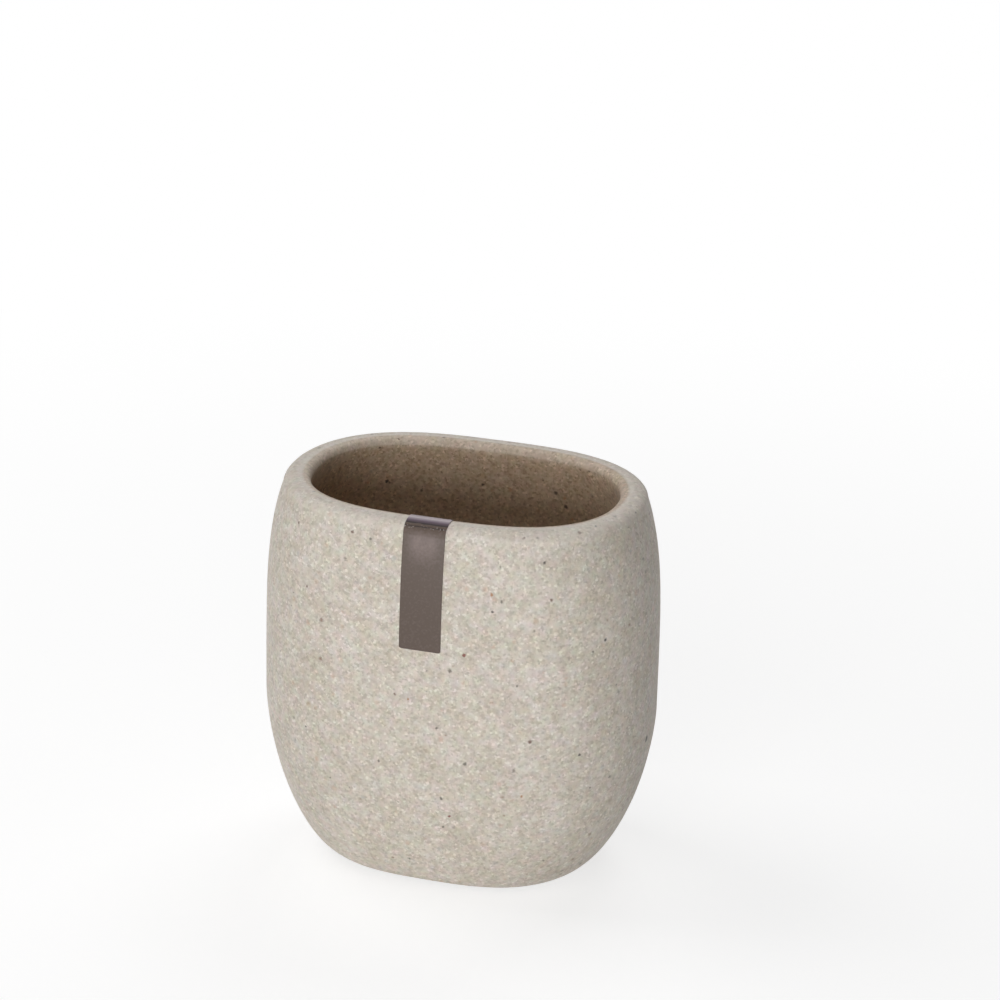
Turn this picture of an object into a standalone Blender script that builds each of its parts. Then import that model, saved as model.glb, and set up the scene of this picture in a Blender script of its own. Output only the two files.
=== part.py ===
"""Oval bathroom tumbler, cast in sand-look polyresin.

One hollow casting stands on four anti-slip pads stuck under its flat base. A thin film strip is folded over
the middle of the front rim. Metres, +Z up; the front faces -Y, the long axis of the oval lies along X, and
the origin is on the surface the tumbler stands on, under the middle of the base.
"""

import math

import bmesh
import bpy
import numpy as np

# Casting: outside sizes
HEIGHT = 0.100
WIDTH = 0.0996
DEPTH = 0.069
BELLY_LEVEL = 0.043
MOUTH_WIDTH = 0.091
MOUTH_DEPTH = 0.0645
BASE_WIDTH = 0.065
BASE_DEPTH = 0.0485

# Casting: wall, floor and rounded rim
WALL = 0.007
FLOOR = 0.007
RIM_OUTER_REACH = 0.0035
RIM_OUTER_RISE = 0.0025
RIM_INNER_RADIUS = 0.002

# Casting: powers of the oval plan, of the curve up to the belly and of the draw-in above it
PLAN_POWER_ALONG = 2.9
PLAN_POWER_ACROSS = 2.1
BELLY_POWER = 1.65
SHOULDER_POWER = 4.4

# Anti-slip pads
PAD_DIAMETER = 0.009
PAD_THICKNESS = 0.001
PAD_EDGE_ROUND = 0.0002
PAD_ADHESIVE = 0.0003
PAD_PLACE_SHARES = (0.6, 0.5)

# Film strip
LABEL_WIDTH = 0.0105
LABEL_FRONT_DROP = 0.032
LABEL_INNER_DROP = 0.012
LABEL_THICKNESS = 0.0003
LABEL_ADHESIVE = 0.0003

# Counts of facets
RING_POINTS = 72
LOWER_RINGS = 9
UPPER_RINGS = 8
RIM_RINGS = 4
PAD_POINTS = 32
LABEL_LEG_STEPS = 8

# Finishes: linear colour, roughness
RESIN_COLOUR = (0.46, 0.40, 0.31, 1.0)
RESIN_ROUGHNESS = 0.6
FILM_COLOUR = (0.13, 0.105, 0.09, 1.0)
FILM_ROUGHNESS = 0.35
PAD_COLOUR = (0.55, 0.56, 0.55, 1.0)
PAD_ROUGHNESS = 0.45
SMOOTH_ANGLE = math.radians(40)

BODY_BASE = PAD_THICKNESS + PAD_ADHESIVE
BODY_TOP = HEIGHT - BODY_BASE
BODY_BELLY = BELLY_LEVEL - BODY_BASE
SHOULDER_TOP = BODY_TOP - RIM_OUTER_RISE


def clear_scene():
    """Remove every object of the open file."""
    for existing in list(bpy.data.objects):
        bpy.data.objects.remove(existing, do_unlink=True)


def blend(start, end, share):
    """Return the value that lies the given share of the way from start to end."""
    return start + (end - start) * share


def finish(name, colour, roughness):
    """Return a Principled material with one colour and roughness."""
    material = bpy.data.materials.new(name)
    material.use_nodes = True
    shader = material.node_tree.nodes["Principled BSDF"]
    shader.inputs["Base Color"].default_value = colour
    shader.inputs["Roughness"].default_value = roughness
    shader.inputs["Metallic"].default_value = 0.0
    material.diffuse_color = colour
    return material


def add_object(name, mesh, material, collection, parent):
    """Wrap a mesh in a named object, in its collection and under its parent."""
    mesh.materials.append(material)
    made = bpy.data.objects.new(name, mesh)
    collection.objects.link(made)
    made.parent = parent
    return made


def half_sizes(level, bottom):
    """Return the half width and half depth of the outer oval at a level above the casting's base.

    The wall leaves the flat at the level called bottom, swings out to the belly, and draws in to the mouth.
    The inside follows the same rule from its own floor.
    """
    if level < BODY_BELLY:
        drop = (BODY_BELLY - level) / (BODY_BELLY - bottom)
        share = (1 - drop**BELLY_POWER) ** (1 / BELLY_POWER)
        return blend(BASE_WIDTH, WIDTH, share) / 2, blend(BASE_DEPTH, DEPTH, share) / 2
    climb = min((level - BODY_BELLY) / (SHOULDER_TOP - BODY_BELLY), 1)
    share = climb**SHOULDER_POWER
    return blend(WIDTH, MOUTH_WIDTH, share) / 2, blend(DEPTH, MOUTH_DEPTH, share) / 2


def oval(half_width, half_depth, inset):
    """Return the plan points of an oval, moved in by inset along its normals."""
    turn = np.linspace(0, 2 * math.pi, RING_POINTS, endpoint=False)
    along = np.cos(turn)
    across = np.sign(np.sin(turn)) * (1 - np.abs(along) ** PLAN_POWER_ALONG) ** (1 / PLAN_POWER_ACROSS)
    slope_x = PLAN_POWER_ALONG / half_width * np.sign(along) * np.abs(along) ** (PLAN_POWER_ALONG - 1)
    slope_y = PLAN_POWER_ACROSS / half_depth * np.sign(across) * np.abs(across) ** (PLAN_POWER_ACROSS - 1)
    length = np.hypot(slope_x, slope_y)
    x = half_width * along - slope_x / length * inset
    y = half_depth * across - slope_y / length * inset
    return x, y


def lower_levels(bottom):
    """Return the levels of the rings from a flat up to the belly, closest where the wall turns fastest."""
    levels = []
    for step in range(LOWER_RINGS + 1):
        turn = step / LOWER_RINGS * math.pi / 2
        drop = math.cos(turn) ** (2 / BELLY_POWER) if step < LOWER_RINGS else 0
        levels.append(BODY_BELLY - (BODY_BELLY - bottom) * drop)
    return levels


def upper_levels(top):
    """Return the levels of the rings above the belly, up to the given one."""
    return [blend(BODY_BELLY, top, (step + 1) / UPPER_RINGS) for step in range(UPPER_RINGS)]


def outer_rings():
    """Return (level, half width, half depth, inset) of each ring, from the base to the rim's outer rounding."""
    rings = [(level, *half_sizes(level, 0), 0) for level in lower_levels(0) + upper_levels(SHOULDER_TOP)]
    for step in range(RIM_RINGS):
        turn = (step + 1) / RIM_RINGS * math.pi / 2
        level = SHOULDER_TOP + RIM_OUTER_RISE * math.sin(turn)
        rings.append((level, MOUTH_WIDTH / 2, MOUTH_DEPTH / 2, RIM_OUTER_REACH * (1 - math.cos(turn))))
    return rings


def inner_rings():
    """Return the same for the inside, from the rim's inner rounding down to the floor."""
    lip = BODY_TOP - RIM_INNER_RADIUS
    rings = []
    for step in range(RIM_RINGS):
        turn = (1 - step / RIM_RINGS) * math.pi / 2
        level = lip + RIM_INNER_RADIUS * math.sin(turn)
        inset = WALL - RIM_INNER_RADIUS * (1 - math.cos(turn))
        rings.append((level, MOUTH_WIDTH / 2, MOUTH_DEPTH / 2, inset))
    levels = lower_levels(FLOOR) + upper_levels(lip)
    rings += [(level, *half_sizes(level, FLOOR), WALL) for level in reversed(levels)]
    return rings


def loft(name, rings):
    """Return a closed mesh through the rings, with a flat face on the first and on the last."""
    shape = bmesh.new()
    loops = []
    for level, half_width, half_depth, inset in rings:
        xs, ys = oval(half_width, half_depth, inset)
        loops.append([shape.verts.new((x, y, level)) for x, y in zip(xs, ys)])
    for lower, upper in zip(loops, loops[1:]):
        for index in range(RING_POINTS):
            following = (index + 1) % RING_POINTS
            shape.faces.new((lower[index], lower[following], upper[following], upper[index]))
    shape.faces.new(reversed(loops[0]))
    shape.faces.new(loops[-1])
    bmesh.ops.recalc_face_normals(shape, faces=shape.faces)
    mesh = bpy.data.meshes.new(name)
    shape.to_mesh(mesh)
    shape.free()
    mesh.shade_smooth()
    mesh.set_sharp_from_angle(angle=SMOOTH_ANGLE)
    return mesh


def front_line():
    """Return (y, z) points down the middle of the front: up the outside, over the rim, down the inside."""
    line = []
    foot = BODY_TOP - LABEL_FRONT_DROP
    for step in range(LABEL_LEG_STEPS):
        level = blend(foot, SHOULDER_TOP, step / LABEL_LEG_STEPS)
        line.append((-half_sizes(level, 0)[1], level))
    for step in range(RIM_RINGS + 1):
        turn = step / RIM_RINGS * math.pi / 2
        reach = RIM_OUTER_REACH * (1 - math.cos(turn))
        line.append((reach - MOUTH_DEPTH / 2, SHOULDER_TOP + RIM_OUTER_RISE * math.sin(turn)))
    lip = BODY_TOP - RIM_INNER_RADIUS
    for step in range(RIM_RINGS + 1):
        turn = (1 - step / RIM_RINGS) * math.pi / 2
        reach = WALL - RIM_INNER_RADIUS * (1 - math.cos(turn))
        line.append((reach - MOUTH_DEPTH / 2, lip + RIM_INNER_RADIUS * math.sin(turn)))
    for step in range(LABEL_LEG_STEPS):
        level = blend(lip, BODY_TOP - LABEL_INNER_DROP, (step + 1) / LABEL_LEG_STEPS)
        line.append((WALL - half_sizes(level, FLOOR)[1], level))
    return line


def moved_out(line, distance):
    """Return an open (y, z) line moved to its left by a distance, square to the line at each point."""
    points = np.array(line)
    steps = np.diff(points, axis=0)
    steps /= np.linalg.norm(steps, axis=1, keepdims=True)
    before = np.vstack([steps[:1], steps])
    after = np.vstack([steps, steps[-1:]])
    left = np.column_stack([-(before + after)[:, 1], (before + after)[:, 0]])
    left /= np.linalg.norm(left, axis=1, keepdims=True)
    return points + left * distance


def add_body(collection, parent):
    """Add the casting, standing above the surface by its pads."""
    material = finish("sand_polyresin", RESIN_COLOUR, RESIN_ROUGHNESS)
    mesh = loft("tumbler_body", outer_rings() + inner_rings())
    body = add_object("tumbler_body", mesh, material, collection, parent)
    body.location = (0, 0, BODY_BASE)
    return body


def add_label(collection, body):
    """Add the film strip: an open strip along the front line, given its thickness by Solidify."""
    shape = bmesh.new()
    edge = LABEL_WIDTH / 2
    previous = None
    for y, z in moved_out(front_line(), LABEL_ADHESIVE):
        pair = (shape.verts.new((-edge, y, z)), shape.verts.new((edge, y, z)))
        if previous:
            shape.faces.new((previous[0], previous[1], pair[1], pair[0]))
        previous = pair
    mesh = bpy.data.meshes.new("label_strip")
    shape.to_mesh(mesh)
    shape.free()
    material = finish("taupe_film", FILM_COLOUR, FILM_ROUGHNESS)
    label = add_object("label_strip", mesh, material, collection, body)
    film = label.modifiers.new("film", "SOLIDIFY")
    film.thickness = LABEL_THICKNESS
    film.offset = 1
    film.use_even_offset = True
    return label


def add_pads(collection, body):
    """Add the four pads, each a disc with a rounded edge, under the flat of the base."""
    material = finish("clear_silicone", PAD_COLOUR, PAD_ROUGHNESS)
    reach_x = BASE_WIDTH / 2 * PAD_PLACE_SHARES[0]
    reach_y = BASE_DEPTH / 2 * PAD_PLACE_SHARES[1]
    places = (("front_left", -1, -1), ("front_right", 1, -1), ("back_left", -1, 1), ("back_right", 1, 1))
    for place, side_x, side_y in places:
        shape = bmesh.new()
        radius = PAD_DIAMETER / 2
        bmesh.ops.create_cone(
            shape, cap_ends=True, segments=PAD_POINTS, radius1=radius, radius2=radius, depth=PAD_THICKNESS
        )
        name = "base_pad_" + place
        mesh = bpy.data.meshes.new(name)
        shape.to_mesh(mesh)
        shape.free()
        pad = add_object(name, mesh, material, collection, body)
        pad.location = (side_x * reach_x, side_y * reach_y, PAD_THICKNESS / 2 - BODY_BASE)
        edge = pad.modifiers.new("edge", "BEVEL")
        edge.width = PAD_EDGE_ROUND
        edge.segments = 2
        edge.limit_method = "ANGLE"


def main():
    """Build the tumbler under one empty at its reference point."""
    clear_scene()
    collection = bpy.data.collections.new("bathroom_tumbler")
    bpy.context.scene.collection.children.link(collection)
    reference = bpy.data.objects.new("tumbler_reference", None)
    collection.objects.link(reference)
    body = add_body(collection, reference)
    add_label(collection, body)
    add_pads(collection, body)


main()
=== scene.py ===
"""Looks of an oval bathroom tumbler, cast in sand-look polyresin.

The casting, the film strip folded over its front rim and the four silicone pads under its base are built
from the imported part's boxes and from the sizes below. Metres, +Z up; the front faces -Y, the long axis of
the oval lies along X, and the tumbler stands on the plane z = 0.
"""

import logging
import math
from collections.abc import Mapping, Sequence
from dataclasses import dataclass
from enum import Enum
from functools import partial
from itertools import accumulate

import bmesh
import bpy
from mathutils import Matrix, Vector, noise
from mathutils.bvhtree import BVHTree


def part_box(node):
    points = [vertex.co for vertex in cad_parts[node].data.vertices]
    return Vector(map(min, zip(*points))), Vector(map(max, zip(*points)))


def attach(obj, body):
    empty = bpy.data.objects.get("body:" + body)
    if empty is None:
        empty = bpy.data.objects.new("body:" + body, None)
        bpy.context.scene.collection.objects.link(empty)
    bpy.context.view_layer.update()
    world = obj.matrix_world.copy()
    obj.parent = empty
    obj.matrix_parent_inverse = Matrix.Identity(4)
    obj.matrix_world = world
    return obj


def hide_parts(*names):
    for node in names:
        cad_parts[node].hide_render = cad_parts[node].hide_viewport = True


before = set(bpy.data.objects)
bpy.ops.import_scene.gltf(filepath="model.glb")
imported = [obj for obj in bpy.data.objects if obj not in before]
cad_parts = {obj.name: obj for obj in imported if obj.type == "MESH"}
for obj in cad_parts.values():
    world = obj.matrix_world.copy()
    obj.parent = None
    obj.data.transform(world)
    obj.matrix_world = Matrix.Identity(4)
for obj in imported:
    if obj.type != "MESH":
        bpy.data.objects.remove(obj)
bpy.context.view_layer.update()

LOG = logging.getLogger("tumbler")
BODY = "root"

Tree = bpy.types.NodeTree
Socket = bpy.types.NodeSocket
Value = Socket | float
Run = tuple[Value, Value, Value]

MATH = "ShaderNodeMath"
VECTOR_MATH = "ShaderNodeVectorMath"
MAP_RANGE = "ShaderNodeMapRange"
MIX = "ShaderNodeMix"
RAMP = "ShaderNodeValToRGB"
COMBINE = "ShaderNodeCombineXYZ"
SEPARATE = "ShaderNodeSeparateXYZ"
NOISE = "ShaderNodeTexNoise"
ATTRIBUTE = "ShaderNodeAttribute"
MESH_GRID = "GeometryNodeMeshGrid"
SET_POSITION = "GeometryNodeSetPosition"
FLOAT = "NodeSocketFloat"

SMOOTH = {"interpolation_type": "SMOOTHSTEP"}
IN_COLOUR = {"output": "Result", "data_type": "RGBA"}


def linear(sheet: str) -> tuple[float, float, float, float]:
    """Turn an sRGB hex colour into the linear colour that a socket holds.

    Args:
        sheet: Colour as "#rrggbb".

    Returns:
        Linear red, green and blue, and an alpha of 1.
    """
    parts = [int(sheet[place : place + 2], 16) / 255 for place in (1, 3, 5)]
    low = [part / 12.92 if part <= 0.04045 else ((part + 0.055) / 1.055) ** 2.4 for part in parts]
    return (low[0], low[1], low[2], 1.0)


def add_node(
    tree: Tree,
    kind: str,
    inputs: Mapping[int | str, object] | Sequence[object] = (),
    output: int | str = 0,
    **settings: object,
) -> Socket:
    """Add a node to a tree, with its settings and its links.

    Args:
        tree: Tree that the node joins.
        kind: Blender's name for the type of node.
        inputs: A value, or the socket that feeds it, for each input: in order, or by name or number.
        output: Output wanted, by name or number.
        **settings: Properties of the node, such as its operation.

    Returns:
        The wanted output; the node itself is its node attribute.
    """
    node = tree.nodes.new(kind)
    for name, value in settings.items():
        setattr(node, name, value)
    for key, value in inputs.items() if isinstance(inputs, Mapping) else enumerate(inputs):
        if isinstance(value, Socket):
            tree.links.new(value, node.inputs[key])
        else:
            node.inputs[key].default_value = value
    return node.outputs[output] if node.outputs else None


def set_steps(ramp: bpy.types.ColorRamp, steps: Sequence[tuple[float, str]]) -> None:
    """Give a new node's colour ramp its steps.

    Args:
        ramp: The ramp.
        steps: Position and colour of each step, in order.
    """
    for index, (position, shade) in enumerate(steps):
        step = ramp.elements[index] if index < 2 else ramp.elements.new(position)
        step.position = position
        step.color = linear(shade)


def new_tree(
    name: str, inputs: Mapping[str, str], outputs: Mapping[str, str]
) -> tuple[Tree, dict[str, Socket]]:
    """Make a geometry node tree with named sockets.

    Args:
        name: Name of the tree.
        inputs: Socket type of each named input.
        outputs: Socket type of each named output.

    Returns:
        The tree, and the sockets that its inputs arrive on, by name.
    """
    tree = bpy.data.node_groups.new(name, "GeometryNodeTree")
    for direction, sockets in (("INPUT", inputs), ("OUTPUT", outputs)):
        for label, kind in sockets.items():
            tree.interface.new_socket(name=label, in_out=direction, socket_type=kind)
    arriving = tree.nodes.new("NodeGroupInput")
    return tree, {socket.name: socket for socket in arriving.outputs if socket.name}


def end_tree(tree: Tree, geometry: Socket, material: bpy.types.Material) -> None:
    """End a piece's tree: smooth shading, real geometry and its material.

    Args:
        tree: The tree.
        geometry: The piece's geometry.
        material: Its material.
    """
    for kind, inputs in (
        ("GeometryNodeSetShadeSmooth", {}),
        ("GeometryNodeRealizeInstances", {}),
        ("GeometryNodeSetMaterial", {"Material": material}),
        ("NodeGroupOutput", {}),
    ):
        geometry = add_node(tree, kind, {"Geometry": geometry} | inputs)


def grown(name: str, tree: Tree, sizes: Mapping[str, float]) -> bpy.types.Object:
    """Run a geometry node tree with its named sizes, and keep the result as a plain mesh.

    Args:
        name: Name of the new object.
        tree: Tree whose inputs have the names of the sizes.
        sizes: Value of each named input.

    Returns:
        An object at the origin, with a plain mesh and no modifier.
    """
    made = bpy.data.objects.new(name, bpy.data.meshes.new(name + "_seed"))
    bpy.context.scene.collection.objects.link(made)
    modifier = made.modifiers.new(tree.name, "NODES")
    modifier.node_group = tree
    for socket in tree.interface.items_tree:
        if socket.in_out == "INPUT" and socket.name in sizes:
            modifier[socket.identifier] = sizes[socket.name]
    graph = bpy.context.evaluated_depsgraph_get()
    mesh = bpy.data.meshes.new_from_object(made.evaluated_get(graph), depsgraph=graph)
    mesh.name = name
    if mesh.materials[0] is None:
        mesh.materials.pop(index=0)
    made.modifiers.clear()
    made.data = mesh
    return made


def seat(piece: bpy.types.Object, nodes: Sequence[str]) -> None:
    """Hand a finished piece to the frame: it rides on the body and stands for its nodes.

    Args:
        piece: Finished piece, in place.
        nodes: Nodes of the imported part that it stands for.
    """
    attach(piece, BODY)
    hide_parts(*nodes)
    LOG.info("%s: %d faces, for %s", piece.name, len(piece.data.polygons), ", ".join(nodes))


class Paint:
    """A material under way.

    Attributes:
        material: The material.
        add: Adds a node to the material's tree, as add_node does.
        place: Object coordinates, which every pattern reads.
    """

    def __init__(self, material: bpy.types.Material) -> None:
        """Give the material its tree.

        Args:
            material: The new material.
        """
        material.use_nodes = True
        self.material = material
        self.add = partial(add_node, material.node_tree)
        self.place = self.add("ShaderNodeTexCoord", output="Object")

    def strayed(self, size: float, reach: float) -> Socket:
        """Shift places by a soft noise, so that what is drawn there is uneven.

        Args:
            size: Size of the unevenness.
            reach: How far it shifts a place, from one extreme to the other.

        Returns:
            The shifted coordinates.
        """
        swirl = self.add(NOISE, {"Vector": self.place, "Scale": 1 / size, "Detail": 1.0}, "Color")
        centred = self.add(VECTOR_MATH, (swirl, (0.5, 0.5, 0.5)), operation="SUBTRACT")
        return self.add(VECTOR_MATH, (centred, (reach,) * 3, self.place), operation="MULTIPLY_ADD")

    def lay(
        self, colour: Socket, shine: Socket, height: Socket, relief: float, even: Mapping[str, object]
    ) -> None:
        """Lead a finish to the shader.

        Args:
            colour: Its colour.
            shine: Its roughness.
            height: Height of its texture, as a share.
            relief: Depth of its texture.
            even: Values of the shader's own sockets, which are the same all over.
        """
        bump = self.add("ShaderNodeBump", {"Height": height, "Distance": relief, "Strength": 1.0})
        tree = self.material.node_tree
        shader = tree.nodes["Principled BSDF"]
        for name, socket in (("Base Color", colour), ("Roughness", shine), ("Normal", bump)):
            tree.links.new(socket, shader.inputs[name])
        for name, value in even.items():
            shader.inputs[name].default_value = value


class SpeckKind(Enum):
    """Kinds of stray mineral grain in the sand, by colour."""

    BLACK = "#2b2724"
    GREY = "#6e695f"
    BROWN = "#6b5142"
    RED = "#7c3a30"
    RUST = "#a8794f"
    GREEN = "#6c7263"


@dataclass(frozen=True)
class Speck:
    """One stray grain that the eye catches.

    Attributes:
        kind: Mineral of the grain.
        pixel: Where it shows in the picture, across and down.
        diameter: Its size on the surface.
    """

    kind: SpeckKind
    pixel: tuple[float, float]
    diameter: float


@dataclass(frozen=True)
class Grains:
    """One size of sand in the resin.

    Attributes:
        spacing: Distance from grain to grain.
        radius: Radius of a middling grain.
        soft_share: Part of the radius over which its edge fades into the resin.
        shown_share: Part of the grains that lie near enough to the surface to show.
        strength: How much of its own colour a grain shows through the resin skin.
        colours: Colours of the grains, each with the share of the grains that have it.
    """

    spacing: float
    radius: float
    soft_share: float
    shown_share: float
    strength: float
    colours: tuple[tuple[str, float], ...]


SMUDGES = Grains(
    spacing=0.0024,
    radius=0.0006,
    soft_share=0.9,
    shown_share=0.6,
    strength=0.45,
    colours=(("#92897c", 0.28), ("#a09c80", 0.15), ("#c4926f", 0.22), ("#979590", 0.2), ("#a3a9ac", 0.15)),
)
# The finest sand is too fine to show at this distance, so its grains are drawn as coarse as needed.
FINE_SAND = Grains(
    spacing=0.00061,
    radius=0.00055,
    soft_share=0.5,
    shown_share=1.0,
    strength=0.4,
    colours=(("#9d9484", 0.14), ("#b9b1a2", 0.24), ("#d1cabc", 0.3), ("#e3ddd2", 0.25), ("#fffaf0", 0.07)),
)
DARK_SAND = Grains(
    spacing=0.0036,
    radius=0.00045,
    soft_share=0.8,
    shown_share=0.45,
    strength=0.78,
    colours=(("#575047", 0.3), ("#70685c", 0.35), ("#7d5a48", 0.15), ("#8f765d", 0.2)),
)


@dataclass(frozen=True)
class SandResin:
    """Polyester resin filled with stone powder and sand, cast in a soft mould and left matt.

    The eye sees a warm pale grey, finely mottled by grains under a thin skin of resin, with a few soft
    smudges and dark stray grains, and a faint sheen at a glancing angle.

    Attributes:
        pale: Resin and stone powder where they are palest.
        deep: The same where more powder settled.
        depths: Values of the patches' and the clouds' noise between which it goes from deep to pale.
        ground: Underside, ground flat after casting.
        inside_painted_shade: Painted shade: a darker, browner tint multiplied over the inside of the cup.
        core_grain: How many times more of the grains' own colour shows there than outside.
        rim: Painted light: a paler colour on the rim, standing in for the light it gets from above.
        rim_painted_light_strength: How much of that painted light the rim shows.
        patch: Size of the soft patches.
        cloud: Size of the broad clouds.
        stain: Size of the faint tints that single minerals give the resin round them.
        stain_strength: Most that such a tint changes a colour, as a share of it.
        ragged: Size of the notches in a grain's edge.
        ragged_depth: How far they shift its edge, from one extreme to the other.
        growth: Radius of the smallest and of the largest grain, in middling ones.
        speck_shares: Shares of a stray grain's diameter between which its edge fades.
        speck_strength: How much of its own colour a stray grain shows.
        skin: Size of the finest texture, that of the mould.
        roughness: Roughness of the resin between the grains.
        grain_roughness: Roughness of the bare grains.
        relief: Depth of the surface texture.
        ground_reach: Levels above the underside between which the grinding marks end.
        ground_strength: How much of the underside's colour the grinding gives.
        index: Refractive index of the resin.
        sheen_weight: Strength of the dusty sheen.
        sheen_tint: Colour of that sheen.
        sands: Sizes of sand, the deepest first.
    """

    pale: str = "#d8cfc5"
    deep: str = "#c4b9a9"
    depths: tuple[float, float] = (0.7, 1.3)
    ground: str = "#d3ccbf"
    inside_painted_shade: str = "#e1cdb9"
    core_grain: float = 1.5
    rim: str = "#ebe2d8"
    rim_painted_light_strength: float = 0.44
    patch: float = 0.0024
    cloud: float = 0.009
    stain: float = 0.0023
    stain_strength: float = 0.085
    ragged: float = 0.00055
    ragged_depth: float = 0.0007
    growth: tuple[float, float] = (0.6, 1.4)
    speck_shares: tuple[float, float] = (0.2, 0.6)
    speck_strength: float = 0.9
    skin: float = 0.00022
    roughness: float = 0.66
    grain_roughness: float = 0.54
    relief: float = 0.00003
    ground_reach: tuple[float, float] = (0.00008, 0.0002)
    ground_strength: float = 0.6
    index: float = 1.54
    sheen_weight: float = 0.22
    sheen_tint: str = "#e8e0da"
    sands: tuple[Grains, ...] = (SMUDGES, FINE_SAND, DARK_SAND)

    def add_resin(self, paint: Paint) -> Socket:
        """Add the resin between the grains, in soft patches and broad clouds.

        Args:
            paint: The material under way.

        Returns:
            The colour.
        """
        cloud = paint.add(NOISE, {"Vector": paint.place, "Scale": 1 / self.cloud, "Detail": 2.0})
        patch = paint.add(NOISE, {"Vector": paint.place, "Scale": 1 / self.patch, "Detail": 1.0})
        depth = paint.add(MATH, (cloud, patch), operation="ADD")
        share = paint.add(MAP_RANGE, (depth, *self.depths))
        return paint.add(MIX, {"Factor": share, "A": linear(self.deep), "B": linear(self.pale)}, **IN_COLOUR)

    def add_sand(
        self, paint: Paint, place: Socket, sand: Grains, under: Socket, showing: Socket
    ) -> tuple[Socket, Socket]:
        """Add one size of sand over what lies under it.

        Args:
            paint: The material under way.
            place: Place of the grains.
            sand: The size of sand.
            under: Colour under the grains.
            showing: Factor on how much of its own colour a grain shows.

        Returns:
            The colour with the grains, and how much of a grain shows at each point.
        """
        distance = paint.add("ShaderNodeTexVoronoi", {"Vector": place, "Scale": 1 / sand.spacing})
        chance = paint.add("ShaderNodeSeparateColor", [distance.node.outputs["Color"]]).node.outputs
        growth = paint.add(MAP_RANGE, (chance["Blue"], 0.0, 1.0, *self.growth))
        reach = paint.add(MATH, (distance, growth), operation="DIVIDE")
        radius = sand.radius / sand.spacing
        core, edge = radius * (1 - sand.soft_share), radius * (1 + sand.soft_share / 2)
        grain = paint.add(MAP_RANGE, (reach, core, edge, sand.strength, 0.0), **SMOOTH)
        shown = paint.add(MATH, (chance["Green"], sand.shown_share), operation="LESS_THAN")
        amount = paint.add(MATH, (grain, shown), operation="MULTIPLY")
        amount = paint.add(MATH, (amount, showing), operation="MULTIPLY", use_clamp=True)
        choice = paint.add(RAMP, [chance["Red"]])
        choice.node.color_ramp.interpolation = "CONSTANT"
        starts = accumulate((share for _, share in sand.colours), initial=0.0)
        set_steps(choice.node.color_ramp, [(start, shade) for start, (shade, _) in zip(starts, sand.colours)])
        return paint.add(MIX, {"Factor": amount, "A": under, "B": choice}, **IN_COLOUR), amount

    def add_stain(self, paint: Paint, under: Socket) -> Socket:
        """Add the faint pink, green and blue tints that single minerals give the resin.

        Args:
            paint: The material under way.
            under: Colour to tint.

        Returns:
            The tinted colour.
        """
        hue = paint.add(NOISE, {"Vector": paint.place, "Scale": 1 / self.stain, "Detail": 1.0}, "Color")
        span, least = (2 * self.stain_strength,) * 3, (1 - self.stain_strength,) * 3
        tint = paint.add(VECTOR_MATH, (hue, span, least), operation="MULTIPLY_ADD")
        return paint.add(MIX, {"Factor": 1.0, "A": under, "B": tint}, **IN_COLOUR, blend_type="MULTIPLY")

    def add_specks(
        self, paint: Paint, place: Socket, under: Socket, specks: Sequence[tuple[Speck, Vector]]
    ) -> Socket:
        """Add the stray grains that the eye catches.

        Args:
            paint: The material under way.
            place: Place of the grains.
            under: Colour under them.
            specks: Each grain and its place on the surface.

        Returns:
            The colour with the specks.
        """
        colour = under
        for speck, centre in specks:
            away = paint.add(VECTOR_MATH, (place, centre), "Value", operation="DISTANCE")
            core, edge = (speck.diameter * share for share in self.speck_shares)
            amount = paint.add(MAP_RANGE, (away, core, edge, self.speck_strength, 0.0), **SMOOTH)
            own = linear(speck.kind.value)
            colour = paint.add(MIX, {"Factor": amount, "A": colour, "B": own}, **IN_COLOUR)
        return colour

    def fill(
        self, material: bpy.types.Material, specks: Sequence[tuple[Speck, Vector]], base_level: float
    ) -> None:
        """Fill a material with the finish.

        Args:
            material: Material of the casting.
            specks: Stray grains and their places.
            base_level: Level of the ground underside.
        """
        paint = Paint(material)
        ragged = paint.strayed(self.ragged, self.ragged_depth)
        inside = paint.add(ATTRIBUTE, output="Fac", attribute_name="inside")
        showing = paint.add(MAP_RANGE, (inside, 0.0, 1.0, 1.0, self.core_grain))
        colour = self.add_resin(paint)
        grains = 0.0
        for sand in self.sands:
            colour, amount = self.add_sand(paint, ragged, sand, colour, showing)
            grains = paint.add(MATH, (grains, amount), operation="MAXIMUM")
        colour = self.add_stain(paint, colour)
        colour = self.add_specks(paint, ragged, colour, specks)
        height = paint.add(SEPARATE, [paint.place], "Z")
        start, end = (base_level + reach for reach in self.ground_reach)
        ground = paint.add(MAP_RANGE, (height, start, end, self.ground_strength, 0.0))
        # Painted light: a paler colour mixed onto the rim, standing in for the light it gets from above.
        rim = paint.add(ATTRIBUTE, output="Fac", attribute_name="rim")
        rim = paint.add(MATH, (rim, self.rim_painted_light_strength), operation="MULTIPLY")
        # Painted shade: the last mix multiplies a darker, browner tint over the inside of the cup, for the
        # shade in the hollow.
        for amount, shade, way in (
            (ground, self.ground, "MIX"), (rim, self.rim, "MIX"), (inside, self.inside_painted_shade, "MULTIPLY")
        ):
            inputs = {"Factor": amount, "A": colour, "B": linear(shade)}
            colour = paint.add(MIX, inputs, **IN_COLOUR, blend_type=way)
        shine = paint.add(MAP_RANGE, (grains, 0.0, 1.0, self.roughness, self.grain_roughness))
        skin = paint.add(NOISE, {"Vector": paint.place, "Scale": 1 / self.skin, "Detail": 2.0})
        relief = paint.add(MATH, (skin, grains), operation="ADD")
        sheen = {"Sheen Weight": self.sheen_weight, "Sheen Tint": linear(self.sheen_tint)}
        paint.lay(colour, shine, relief, self.relief, {"IOR": self.index} | sheen)


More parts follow.
